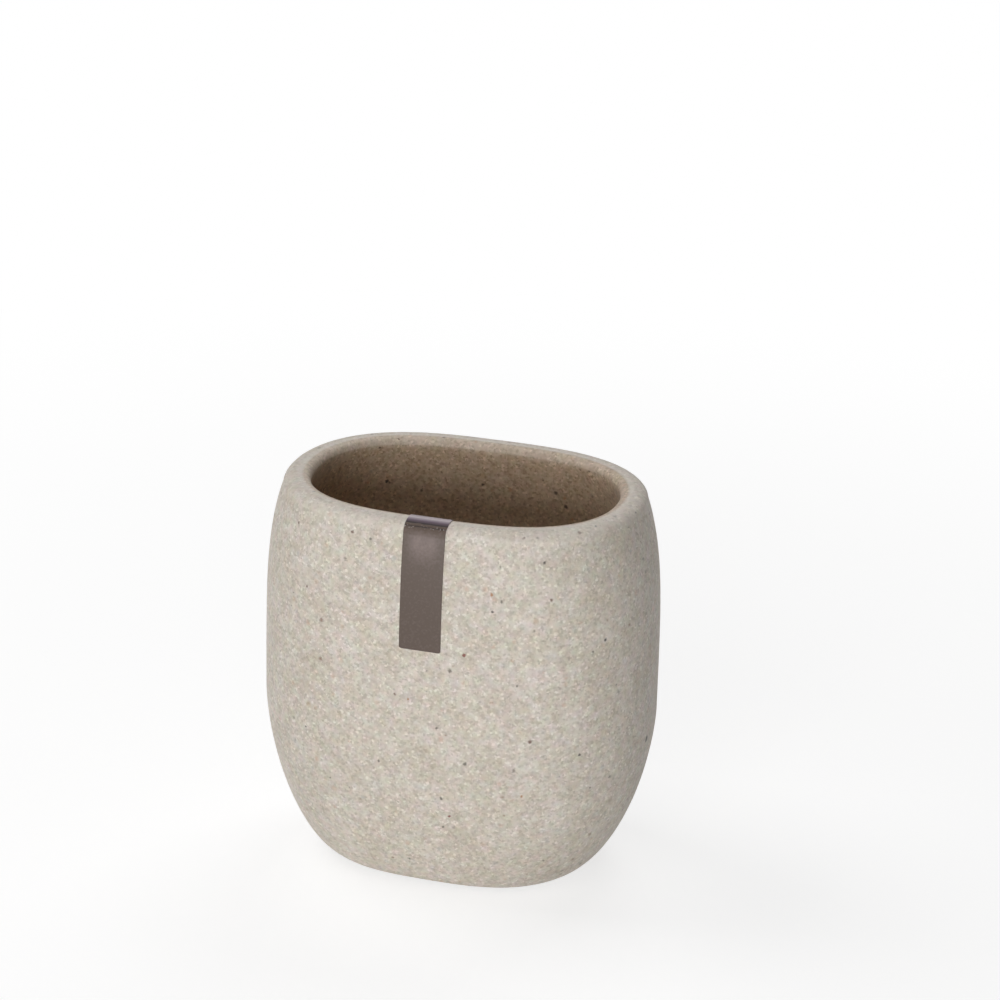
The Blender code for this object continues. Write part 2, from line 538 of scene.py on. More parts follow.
@dataclass(frozen=True)
class TaupeFilm:
    """Polypropylene label film, printed taupe on white and satin varnished.

    The eye sees a dull grey brown, paler in soft clouds towards the fold and along the middle. Painted shade
    draws dark broken lines in the creases at the fold, and painted glints draw small white flecks under it.
    Over the rim, painted shade and a painted reflection go from dark at the fold to a pale painted highlight
    at the lip, and back to the print's own colour inside.

    Attributes:
        print_colour: Printed colour.
        paler_print: Paler print, towards the fold and along the middle.
        crown: Painted shade and painted reflection over the rim, each colour with its distance past the fold:
            dark at the fold, a pale painted highlight at the lip, then back to the print's own colour inside.
        dull_roughness: Roughness of the varnish over the rim, where its reflection is painted, and of the
            crumpled varnish under the fold.
        dull_reach: Distances below the fold between which the varnish gets back its satin.
        crease_shade: Colour of the painted shade in the creases at the fold.
        crease_shade_lines: Distance of each line of painted crease shade below the fold, with its strength.
        crease_shade_width: Half the width of such a line.
        crease_shade_break: Length of its broken parts.
        crease_shade_depth: Values of a noise between which such a line goes from none to its full strength.
        painted_glint: Colour of the painted glints, small white flecks under the fold.
        painted_glint_size: Size of the glints.
        painted_glint_band: Distances below the fold between which they lie.
        painted_glint_chance: Values of a noise between which the film goes from no glint to a whole one.
        paler_start: Distances below the fold between which the paler print sets in.
        paler_reach: Distances below the fold between which it fades.
        paler_half: Distances from the middle between which it fades.
        cloud: Size of its clouds.
        cloud_strength: Least and most of the paler print in the clouds.
        mottle: Size of the print's fine mottle.
        mottle_strength: How far the mottle goes from the print to the paler colour.
        roughness: Roughness of the varnish, and how far it strays.
        peel: Size of the varnish's fine orange peel.
        relief: Depth of the peel.
        index: Refractive index of the varnish.
    """

    print_colour: str = "#574940"
    paler_print: str = "#7b6b66"
    crown: tuple[tuple[float, str], ...] = (
        (0.0, "#2b2021"),
        (0.0004, "#44363d"),
        (0.0009, "#5f515b"),
        (0.0013, "#82747f"),
        (0.0018, "#a4989f"),
        (0.0026, "#cfc4c9"),
        (0.0033, "#b9aeb2"),
        (0.0041, "#b9aeb2"),
        (0.0056, "#75696a"),
        (0.0078, "#574940"),
    )
    dull_roughness: float = 0.8
    dull_reach: tuple[float, float] = (0.001, 0.0035)
    crease_shade: str = "#170f10"
    crease_shade_lines: tuple[tuple[float, float], ...] = ((0.0, 1.0), (0.0009, 0.8))
    crease_shade_width: float = 0.00035
    crease_shade_break: float = 0.0016
    crease_shade_depth: tuple[float, float] = (0.25, 0.55)
    painted_glint: str = "#cfc5c0"
    painted_glint_size: float = 0.0004
    painted_glint_band: tuple[float, float] = (0.0003, 0.0017)
    painted_glint_chance: tuple[float, float] = (0.64, 0.7)
    paler_start: tuple[float, float] = (0.0012, 0.0045)
    paler_reach: tuple[float, float] = (0.004, 0.012)
    paler_half: tuple[float, float] = (0.0015, 0.0052)
    cloud: float = 0.0025
    cloud_strength: tuple[float, float] = (0.4, 1.4)
    mottle: float = 0.0006
    mottle_strength: float = 0.5
    roughness: tuple[float, float] = (0.42, 0.06)
    peel: float = 0.0006
    relief: float = 0.000008
    index: float = 1.49

    def add_paling(self, paint: Paint, below: Socket, cloud: Socket) -> Socket:
        """Add how much paler the print is: most in the middle, near the fold, in soft clouds.

        Args:
            paint: The material under way.
            below: Distance below the fold.
            cloud: Clouds over the film.

        Returns:
            The amount.
        """
        across = paint.add(SEPARATE, [paint.place], "X")
        across = paint.add(MATH, [across], operation="ABSOLUTE")
        amount = paint.add(MAP_RANGE, (cloud, 0.0, 1.0, *self.cloud_strength))
        for distance, (near, far) in (
            (below, self.paler_start[::-1]), (below, self.paler_reach), (across, self.paler_half)
        ):
            fade = paint.add(MAP_RANGE, (distance, near, far, 1.0, 0.0), **SMOOTH)
            amount = paint.add(MATH, (amount, fade), operation="MULTIPLY", use_clamp=True)
        mottle = paint.add(NOISE, {"Vector": paint.place, "Scale": 1 / self.mottle, "Detail": 3.0})
        mottle = paint.add(MAP_RANGE, (mottle, 0.0, 1.0, -self.mottle_strength, self.mottle_strength))
        return paint.add(MATH, (mottle, amount), operation="ADD")

    def add_crown(self, paint: Paint, below: Socket) -> Socket:
        """Add the painted shade and painted reflection over the rim.

        Args:
            paint: The material under way.
            below: Distance below the fold, which is less than zero over the rim.

        Returns:
            The colour.
        """
        end = self.crown[-1][0]
        past = paint.add(MATH, (below, -1 / end), operation="MULTIPLY")
        colour = paint.add(RAMP, [past])
        set_steps(colour.node.color_ramp, [(distance / end, shade) for distance, shade in self.crown])
        return colour

    @staticmethod
    def add_line(paint: Paint, below: Socket, middle: float, half: float, strength: Value) -> Socket:
        """Add a soft line along the fold.

        Args:
            paint: The material under way.
            below: Distance below the fold.
            middle: The same of the line's middle.
            half: Half the line's width.
            strength: Most of it.

        Returns:
            The amount.
        """
        away = paint.add(MATH, (below, middle), operation="SUBTRACT")
        away = paint.add(MATH, [away], operation="ABSOLUTE")
        return paint.add(MAP_RANGE, (away, 0.0, half, strength, 0.0), **SMOOTH)

    def add_painted_glints(self, paint: Paint, below: Socket) -> Socket:
        """Add the painted glints: small white flecks under the fold.

        Args:
            paint: The material under way.
            below: Distance below the fold.

        Returns:
            The amount.
        """
        chance = paint.add(NOISE, {"Vector": paint.place, "Scale": 1 / self.painted_glint_size, "Detail": 1.0})
        glinting = paint.add(MAP_RANGE, (chance, *self.painted_glint_chance))
        start, end = self.painted_glint_band
        near = self.add_line(paint, below, (start + end) / 2, (end - start) / 2, 1.0)
        return paint.add(MATH, (glinting, near), operation="MULTIPLY")

    def make(self) -> bpy.types.Material:
        """Make the material; it reads the distance below the fold from the piece's own attribute.

        Returns:
            The material.
        """
        paint = Paint(bpy.data.materials.new("printed_polypropylene_film"))
        below = paint.add(ATTRIBUTE, output="Fac", attribute_name="below_fold")
        cloud = paint.add(NOISE, {"Vector": paint.place, "Scale": 1 / self.cloud, "Detail": 3.0})
        over_rim = paint.add(MATH, (below, 0.0), operation="LESS_THAN")
        broken = paint.add(NOISE, {"Vector": paint.place, "Scale": 1 / self.crease_shade_break, "Detail": 2.0})
        layers = [
            (self.add_paling(paint, below, cloud), linear(self.paler_print)),
            # Painted shade and painted reflection over the rim: dark at the fold, a pale painted highlight at
            # the lip.
            (over_rim, self.add_crown(paint, below)),
        ]
        # Painted shade: dark broken lines in the creases at and under the fold.
        for crease_shade, strength in self.crease_shade_lines:
            depth = paint.add(MAP_RANGE, (broken, *self.crease_shade_depth, 0.0, strength))
            layers.append((self.add_line(paint, below, crease_shade, self.crease_shade_width, depth), linear(self.crease_shade)))
        # Painted glints: small white flecks along the crinkles under the fold.
        layers.append((self.add_painted_glints(paint, below), linear(self.painted_glint)))
        colour = linear(self.print_colour)
        for amount, over in layers:
            colour = paint.add(MIX, {"Factor": amount, "A": colour, "B": over}, **IN_COLOUR)
        peel = paint.add(NOISE, {"Vector": paint.place, "Scale": 1 / self.peel, "Detail": 2.0})
        middle, stray = self.roughness
        satin = paint.add(MAP_RANGE, (cloud, 0.0, 1.0, middle - stray, middle + stray))
        shine = paint.add(MAP_RANGE, (below, *self.dull_reach, self.dull_roughness, satin))
        paint.lay(colour, shine, peel, self.relief, {"IOR": self.index})
        return paint.material


@dataclass(frozen=True)
class MilkySilicone:
    """Moulded silicone rubber, clear but clouded, with a dusty skin.

    The eye sees a milky pale grey, duller in patches where dust clings.

    Attributes:
        clear: Colour of the rubber.
        dusty: Colour of the dust that clings to it.
        dust_range: Values of a noise between which the rubber goes from clean to dusty.
        speckle: Size of the dust's patches.
        roughness: Roughness of the clean rubber and of the dusty.
        relief: Depth of the dust.
        index: Refractive index of the rubber.
    """

    clear: str = "#cfd2cf"
    dusty: str = "#b9b7ae"
    dust_range: tuple[float, float] = (0.45, 0.7)
    speckle: float = 0.0007
    roughness: tuple[float, float] = (0.4, 0.65)
    relief: float = 0.00002
    index: float = 1.41

    def make(self) -> bpy.types.Material:
        """Make the material.

        Returns:
            The material.
        """
        paint = Paint(bpy.data.materials.new("moulded_silicone"))
        dust = paint.add(NOISE, {"Vector": paint.place, "Scale": 1 / self.speckle, "Detail": 4.0})
        share = paint.add(MAP_RANGE, (dust, *self.dust_range))
        inputs = {"Factor": share, "A": linear(self.clear), "B": linear(self.dusty)}
        colour = paint.add(MIX, inputs, **IN_COLOUR)
        shine = paint.add(MAP_RANGE, (share, 0.0, 1.0, *self.roughness))
        paint.lay(colour, shine, dust, self.relief, {"IOR": self.index})
        return paint.material


@dataclass(frozen=True)
class Stretch:
    """One stretch of the casting's profile; each run is a share, then the values at its 0 and at its 1.

    Attributes:
        name: What the stretch is.
        level: Run of the level above the underside.
        plan: Run of the plan's width and depth.
        inset: Run of how far the surface lies inside the plan's edge.
        scale: Run of the scale towards the middle, which closes a flat.
        inside: Run of the painted shade inside the cup.
        rim: Run of the painted light on the rim.
    """

    name: str
    level: Run
    plan: tuple[Socket, tuple[Value, Value], tuple[Value, Value]]
    inset: Run = (0.0, 0.0, 0.0)
    scale: Run = (0.0, 1.0, 1.0)
    inside: Run = (0.0, 0.0, 0.0)
    rim: Run = (0.0, 0.0, 0.0)

    def shape_runs(self) -> dict[str, Run]:
        """Return the runs that place the surface, by name."""
        width, depth = ((self.plan[0], *ends) for ends in zip(*self.plan[1:]))
        return {"level": self.level, "width": width, "depth": depth, "inset": self.inset, "scale": self.scale}


@dataclass
class Casting:
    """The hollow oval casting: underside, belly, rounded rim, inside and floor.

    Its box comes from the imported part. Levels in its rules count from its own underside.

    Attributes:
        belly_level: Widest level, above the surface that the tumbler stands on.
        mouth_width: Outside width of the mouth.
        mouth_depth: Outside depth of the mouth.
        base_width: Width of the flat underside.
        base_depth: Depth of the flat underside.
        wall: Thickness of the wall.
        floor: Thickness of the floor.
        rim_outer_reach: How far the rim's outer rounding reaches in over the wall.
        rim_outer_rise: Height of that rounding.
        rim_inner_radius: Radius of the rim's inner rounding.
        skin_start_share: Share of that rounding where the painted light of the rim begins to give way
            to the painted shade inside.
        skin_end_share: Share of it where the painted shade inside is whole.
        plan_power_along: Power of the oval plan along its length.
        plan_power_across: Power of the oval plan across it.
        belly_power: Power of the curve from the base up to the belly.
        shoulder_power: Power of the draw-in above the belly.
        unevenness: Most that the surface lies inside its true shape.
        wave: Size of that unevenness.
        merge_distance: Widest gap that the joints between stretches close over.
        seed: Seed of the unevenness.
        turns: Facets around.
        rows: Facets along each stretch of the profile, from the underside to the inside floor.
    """

    belly_level: float = 0.043
    mouth_width: float = 0.091
    mouth_depth: float = 0.0645
    base_width: float = 0.065
    base_depth: float = 0.0485
    wall: float = 0.007
    floor: float = 0.007
    rim_outer_reach: float = 0.0035
    rim_outer_rise: float = 0.0025
    rim_inner_radius: float = 0.002
    skin_start_share: float = 0.28
    skin_end_share: float = 0.63
    plan_power_along: float = 2.9
    plan_power_across: float = 2.1
    belly_power: float = 1.65
    shoulder_power: float = 4.4
    unevenness: float = 0.00012
    wave: float = 0.016
    merge_distance: float = 0.000002
    seed: float = 4.0
    turns: int = 288
    rows: tuple[int, ...] = (12, 46, 58, 12, 3, 16, 50, 38, 12)

    def __post_init__(self) -> None:
        """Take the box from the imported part."""
        low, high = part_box("tumbler_body")
        self.width = high.x - low.x
        self.depth = high.y - low.y
        self.base_level = low.z
        self.height = high.z - low.z
        self.belly = self.belly_level - self.base_level
        self.shoulder_top = self.height - self.rim_outer_rise
        self.lip = self.height - self.rim_inner_radius
        self.rim_inner_start = self.wall - self.rim_inner_radius

    def half_depth(self, level: float) -> float:
        """Return the outer wall's half depth at a level between the belly and the mouth."""
        climb = min((level - self.belly) / (self.shoulder_top - self.belly), 1)
        return (self.depth + (self.mouth_depth - self.depth) * climb**self.shoulder_power) / 2

    def front_sag(self, across: float) -> float:
        """Return how far the front of the mouth's oval falls back at a distance from its middle.

        Args:
            across: Distance from the middle, to either side.

        Returns:
            How far it falls back there.
        """
        reach = abs(across) / (self.mouth_width / 2)
        share = (1 - reach**self.plan_power_along) ** (1 / self.plan_power_across)
        return self.mouth_depth / 2 * (1 - share)

    def oval_tree(self) -> Tree:
        """Make the tree that puts a point of the oval plan in its place.

        Returns:
            A tree from a turn, the plan's sizes, an inset, a scale and a level to a position.
        """
        names = ("turn", "width", "depth", "inset", "scale", "level", "plan_power_along", "plan_power_across")
        tree, size = new_tree("oval point", dict.fromkeys(names, FLOAT), {"Position": "NodeSocketVector"})
        add = partial(add_node, tree)
        along, across = size["plan_power_along"], size["plan_power_across"]
        cosine = add(MATH, [size["turn"]], operation="COSINE")
        sine = add(MATH, [size["turn"]], operation="SINE")
        end = add(MATH, [cosine], operation="SIGN")
        face = add(MATH, [sine], operation="SIGN")
        reach = add(MATH, [cosine], operation="ABSOLUTE")
        filled = add(MATH, (reach, along), operation="POWER")
        room = add(MATH, (1.0, filled), operation="SUBTRACT", use_clamp=True)
        root = add(MATH, (1.0, across), operation="DIVIDE")
        spread = add(MATH, (room, root), operation="POWER")
        slopes = []
        for amount, side, power, span in (
            (reach, end, along, size["width"]), (spread, face, across, size["depth"])
        ):
            less = add(MATH, (power, 1.0), operation="SUBTRACT")
            raised = add(MATH, (amount, less), operation="POWER")
            rate = add(MATH, (power, span), operation="DIVIDE")
            slope = add(MATH, (raised, rate), operation="MULTIPLY")
            slopes.append(add(MATH, (slope, side), operation="MULTIPLY"))
        normal = add(VECTOR_MATH, [add(COMBINE, slopes)], operation="NORMALIZE")
        pull = add(VECTOR_MATH, {0: normal, "Scale": size["inset"]}, operation="SCALE")
        sideways = add(MATH, (spread, face), operation="MULTIPLY")
        x = add(MATH, (cosine, size["width"]), operation="MULTIPLY")
        y = add(MATH, (sideways, size["depth"]), operation="MULTIPLY")
        outline = add(VECTOR_MATH, {0: add(COMBINE, (x, y)), "Scale": 0.5}, operation="SCALE")
        inside = add(VECTOR_MATH, (outline, pull), operation="SUBTRACT")
        scaled = add(VECTOR_MATH, {0: inside, "Scale": size["scale"]}, operation="SCALE")
        level = add(COMBINE, {"Z": size["level"]})
        point = add(VECTOR_MATH, (scaled, level), operation="ADD")
        add("NodeGroupOutput", [point])
        return tree

    def profile(self, tree: Tree, size: Mapping[str, Socket], share: Socket) -> tuple[Stretch, ...]:
        """List the stretches of the casting's profile, from the middle of the underside to the inside floor.

        Args:
            tree: The casting's tree.
            size: Its inputs by name.
            share: Share of the way along a stretch.

        Returns:
            The stretches in order.
        """
        add = partial(add_node, tree)
        quarter = add(MATH, (share, math.pi / 2), operation="MULTIPLY")
        sine = add(MATH, [quarter], operation="SINE")
        cosine = add(MATH, [quarter], operation="COSINE", use_clamp=True)
        power = add(MATH, (2.0, size["belly_power"]), operation="DIVIDE")
        rising = add(MATH, (sine, power), operation="POWER")
        falling = add(MATH, (cosine, power), operation="POWER")
        drawn_in = add(MATH, (share, size["shoulder_power"]), operation="POWER")
        middle, lip, top, floor = size["belly"], size["lip"], size["height"], size["floor"]
        level = add(MAP_RANGE, (share, 0.0, 1.0, lip, middle))
        climb = add(MAP_RANGE, (level, middle, size["shoulder_top"]))
        let_out = add(MATH, (climb, size["shoulder_power"]), operation="POWER")
        # Along the inner rounding, the painted light of the rim gives way to the painted shade inside.
        skin = add(MAP_RANGE, (share, size["skin_start_share"], size["skin_end_share"]))
        base = (size["base_width"], size["base_depth"])
        belly = (size["width"], size["depth"])
        mouth = (size["mouth_width"], size["mouth_depth"])
        start, reach, wall = size["rim_inner_start"], size["rim_outer_reach"], size["wall"]
        # The stretches inside the cup carry the painted shade whole.
        at_mouth, painted_shade_inside = (share, mouth, mouth), {"inset": (share, wall, wall), "inside": (share, 1.0, 1.0)}
        return (
            Stretch("underside", (share, 0.0, 0.0), (share, base, base), scale=(share, 0.0, 1.0)),
            Stretch("outside below", (falling, middle, 0.0), (rising, base, belly)),
            Stretch("outside above", (share, middle, size["shoulder_top"]), (drawn_in, belly, mouth)),
            # The outer rounding and the land carry the painted light of the rim.
            Stretch(
                "outer rounding", (sine, size["shoulder_top"], top), at_mouth, (cosine, reach, 0.0),
                rim=(share, 0.0, 1.0),
            ),
            Stretch("land", (share, top, top), at_mouth, (share, reach, start), rim=(share, 1.0, 1.0)),
            Stretch(
                "inner rounding", (cosine, lip, top), at_mouth, (sine, start, wall),
                inside=(skin, 0.0, 1.0), rim=(skin, 1.0, 0.0),
            ),
            Stretch("inside above", (share, lip, middle), (let_out, belly, mouth), **painted_shade_inside),
            Stretch("inside below", (rising, middle, floor), (falling, base, belly), **painted_shade_inside),
            Stretch(
                "inside floor", (share, floor, floor), (share, base, base), scale=(share, 1.0, 0.0), **painted_shade_inside
            ),
        )

    def make_tree(self, material: bpy.types.Material) -> Tree:
        """Make the tree of the whole casting, one grid for each stretch of its profile.

        Args:
            material: Finish of the casting.

        Returns:
            A tree whose named inputs are the casting's sizes.
        """
        sockets = dict.fromkeys(self.sizes(), FLOAT) | {"turn_points": "NodeSocketInt"}
        tree, size = new_tree("oval casting", sockets, {"Geometry": "NodeSocketGeometry"})
        add = partial(add_node, tree)
        place = add(SEPARATE, [add("GeometryNodeInputPosition")]).node.outputs
        share = add(MATH, (place["X"], 0.5), operation="ADD")
        turn = add(MATH, (place["Y"], -2 * math.pi), operation="MULTIPLY")
        plan = {"turn": turn} | {name: size[name] for name in ("plan_power_along", "plan_power_across")}
        oval = self.oval_tree()
        joined = add("GeometryNodeJoinGeometry")
        for stretch, rows in reversed(list(zip(self.profile(tree, size, share), self.rows))):
            found = {
                name: add(MAP_RANGE, (amount, 0.0, 1.0, first, last))
                for name, (amount, first, last) in stretch.shape_runs().items()
            }
            grid = add(MESH_GRID, (1.0, 1.0, rows + 1, size["turn_points"]), label=stretch.name)
            point = add("GeometryNodeGroup", plan | found, node_tree=oval)
            part = add(SET_POSITION, {"Geometry": grid, "Position": point})
            # Each point keeps its share of the painted shade inside and of the painted light on the rim.
            for name, (amount, first, last) in (("inside", stretch.inside), ("rim", stretch.rim)):
                value = add(MAP_RANGE, (amount, 0.0, 1.0, first, last))
                stored = {"Geometry": part, "Name": name, "Value": value}
                part = add("GeometryNodeStoreNamedAttribute", stored)
            tree.links.new(part, joined.node.inputs["Geometry"])
        closing = {"Geometry": joined, "Distance": size["merge_distance"]}
        closed = add("GeometryNodeMergeByDistance", closing)
        density = add(MATH, (1.0, size["wave"]), operation="DIVIDE")
        wave = add(NOISE, {"W": size["seed"], "Scale": density}, noise_dimensions="4D")
        dip = add(MATH, (wave, size["unevenness"]), operation="MULTIPLY")
        normal = add("GeometryNodeInputNormal")
        inward = add(VECTOR_MATH, {0: normal, "Scale": -1.0}, operation="SCALE")
        offset = add(VECTOR_MATH, {0: inward, "Scale": dip}, operation="SCALE")
        uneven = add(SET_POSITION, {"Geometry": closed, "Offset": offset})
        stand = add(COMBINE, {"Z": size["base_level"]})
        end_tree(tree, add(SET_POSITION, {"Geometry": uneven, "Offset": stand}), material)
        return tree

    def sizes(self) -> dict[str, float]:
        """Return the tree's sizes by name: all but the facets, and what only other sizes come from."""
        left_out = ("belly_level", "rim_outer_rise", "rim_inner_radius", "turns", "rows")
        return {name: value for name, value in vars(self).items() if name not in left_out}

    def build(self) -> bpy.types.Object:
        """Build the casting's mesh, with a bare material that dress fills.

        Returns:
            The casting.
        """
        material = bpy.data.materials.new("sand_filled_resin")
        sizes = self.sizes() | {"turn_points": self.turns + 1}
        return grown("resin_casting", self.make_tree(material), sizes)

    def dress(
        self, piece: bpy.types.Object, finish: SandResin, specks: Sequence[tuple[Speck, Vector]]
    ) -> None:
        """Fill the casting's material and hand the piece to the frame.

        Args:
            piece: The built casting.
            finish: Its finish.
            specks: Stray grains and their places.
        """
        finish.fill(piece.data.materials[0], specks, self.base_level)
        seat(piece, ["tumbler_body"])


@dataclass
class FilmStrip:
    """The film strip, folded over the front rim, pinched and wrinkled where it was folded.

    Attributes:
        inner_drop: Length of its leg inside the rim.
        foot_trim: How much shorter the front leg is than its solid.
        corner: Radius of the front leg's corners.
        gap: Adhesive between the film and the casting.
        thickness: Thickness of the film.
        fold_turn: Angle on the rim's outer rounding where the film was folded.
        step: Distance between points along the legs.
        fine_step: Distance between points over the rim.
        columns: Faces across the film.
        pinch: Height of the ridge that the folding pinched up.
        pinch_share: Part of that height that the ridge has on average.
        pinch_place: Distance of the ridge below the fold.
        pinch_reach: How far the ridge spreads to each side.
        pinch_run: Length over which its height changes along it.
        crinkle: Height of the wrinkles below it.
        crinkle_size: Size of the wrinkles.
        crinkle_band: Distances below the fold between which they run.
    """

    inner_drop: float = 0.012
    foot_trim: float = 0.0004
    corner: float = 0.0004
    gap: float = 0.00005
    thickness: float = 0.00012
    fold_turn: float = math.radians(58)
    step: float = 0.00025
    fine_step: float = 0.00007
    columns: int = 96
    pinch: float = 0.00009
    pinch_share: float = 0.6
    pinch_place: float = 0.00042
    pinch_reach: float = 0.00036
    pinch_run: float = 0.0014
    crinkle: float = 0.00013
    crinkle_size: float = 0.0009
    crinkle_band: tuple[float, float] = (0.0006, 0.0022)

    def __post_init__(self) -> None:
        """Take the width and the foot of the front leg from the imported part."""
        low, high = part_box("label_strip")
        self.width = high.x - low.x
        self.foot = low.z + self.foot_trim

    @staticmethod
    def shares(length: float, step: float) -> list[float]:
        """Return even shares from 0, short of 1, for steps of about the given size."""
        count = max(round(length / step), 1)
        return [number / count for number in range(count)]

    def line(self, casting: Casting) -> tuple[list[Vector], int]:
        """Lay the film's line along the middle of the front.

        Args:
            casting: The casting that it is stuck to.

        Returns:
            Points across depth and height, from the foot over the rim to the end inside, and the number of
            the point at the fold.
        """
        face = -casting.mouth_depth / 2
        foot = self.foot - casting.base_level
        reach, rise, radius = casting.rim_outer_reach, casting.rim_outer_rise, casting.rim_inner_radius
        points = []
        for share in self.shares(casting.shoulder_top - foot, self.step):
            level = foot + (casting.shoulder_top - foot) * share
            points.append(Vector((-casting.half_depth(level), level)))
        rounding = self.shares(math.pi / 2 * (reach + rise) / 2, self.fine_step)
        fold = len(points) + round(self.fold_turn / (math.pi / 2) * len(rounding))
        for share in rounding:
            turn = math.pi / 2 * share
            out, up = reach * (1 - math.cos(turn)), rise * math.sin(turn)
            points.append(Vector((face + out, casting.shoulder_top + up)))
        land = casting.wall - radius
        for share in self.shares(land - reach, self.step):
            points.append(Vector((face + reach + (land - reach) * share, casting.height)))
        for share in self.shares(math.pi / 2 * radius, self.step):
            turn = math.pi / 2 * share
            out, up = radius * math.sin(turn), radius * math.cos(turn)
            points.append(Vector((face + land + out, casting.lip + up)))
        drop = self.inner_drop - radius
        for share in [*self.shares(drop, self.step), 1.0]:
            level = casting.lip - drop * share
            points.append(Vector((casting.wall - casting.half_depth(level), level)))
        return points, fold

    def half_width(self, risen: float) -> float:
        """Return half the film's width at a distance above its foot, less where its corners are round."""
        short = max(self.corner - risen, 0.0)
        return self.width / 2 - self.corner + math.sqrt(self.corner**2 - short**2)

    def build(self, casting: Casting) -> bpy.types.Object:
        """Build the film: its line swept across the front, wrinkled below the fold.

        Args:
            casting: The casting that it is stuck to.

        Returns:
            The film, with the distance below the fold as an attribute.
        """
        line, fold = self.line(casting)
        run = [0.0, *accumulate((after - before).length for before, after in zip(line, line[1:]))]
        shape = bmesh.new()
        below = []
        rows = []
        for number, point in enumerate(line):
            ahead = line[min(number + 1, len(line) - 1)] - line[max(number - 1, 0)]
            outward = Vector((-ahead.y, ahead.x)).normalized()
            under = run[fold] - run[number]
            half = self.half_width(run[number])
            row = []
            for column in range(self.columns + 1):
                across = (2 * column / self.columns - 1) * half
                spot = point + outward * (self.gap + self.wrinkle(across, under))
                depth, level = spot.x + casting.front_sag(across), spot.y + casting.base_level
                row.append(shape.verts.new((across, depth, level)))
                below.append(under)
            rows.append(row)
        for low, high in zip(rows, rows[1:]):
            for corners in zip(low, low[1:], high[1:], high):
                shape.faces.new(corners)
        mesh = bpy.data.meshes.new("film_label")
        shape.to_mesh(mesh)
        shape.free()
        mesh.attributes.new("below_fold", "FLOAT", "POINT").data.foreach_set("value", below)
        mesh.shade_smooth()
        piece = bpy.data.objects.new("film_label", mesh)
        bpy.context.scene.collection.objects.link(piece)
        film = piece.modifiers.new("film", "SOLIDIFY")
        film.thickness = self.thickness
        film.offset = 1
        return piece

    def wrinkle(self, across: float, under: float) -> float:
        """Return how far the pinched ridge and the wrinkles lift the film at a place.

        Args:
            across: Distance from the film's middle.
            under: Distance below the fold.

        Returns:
            The lift, which is never below zero.
        """
        away = abs(under - self.pinch_place) / self.pinch_reach
        high = max(self.pinch_share + noise.noise(Vector((across / self.pinch_run, 0.0, 0.0))), 0.0)
        ridge = self.pinch * high * max(1 - away * away, 0.0)
        start, end = self.crinkle_band
        share = max(1 - abs(2 * under - start - end) / (end - start), 0.0)
        soft = share * share * (3 - 2 * share)
        spot = Vector((across, under, self.crinkle_size)) / self.crinkle_size
        return ridge + self.crinkle * soft * max(noise.noise(spot), 0.0)

    def dress(self, piece: bpy.types.Object, finish: TaupeFilm) -> None:
        """Give the film its finish and hand it to the frame."""
        piece.data.materials.append(finish.make())
        seat(piece, ["label_strip"])


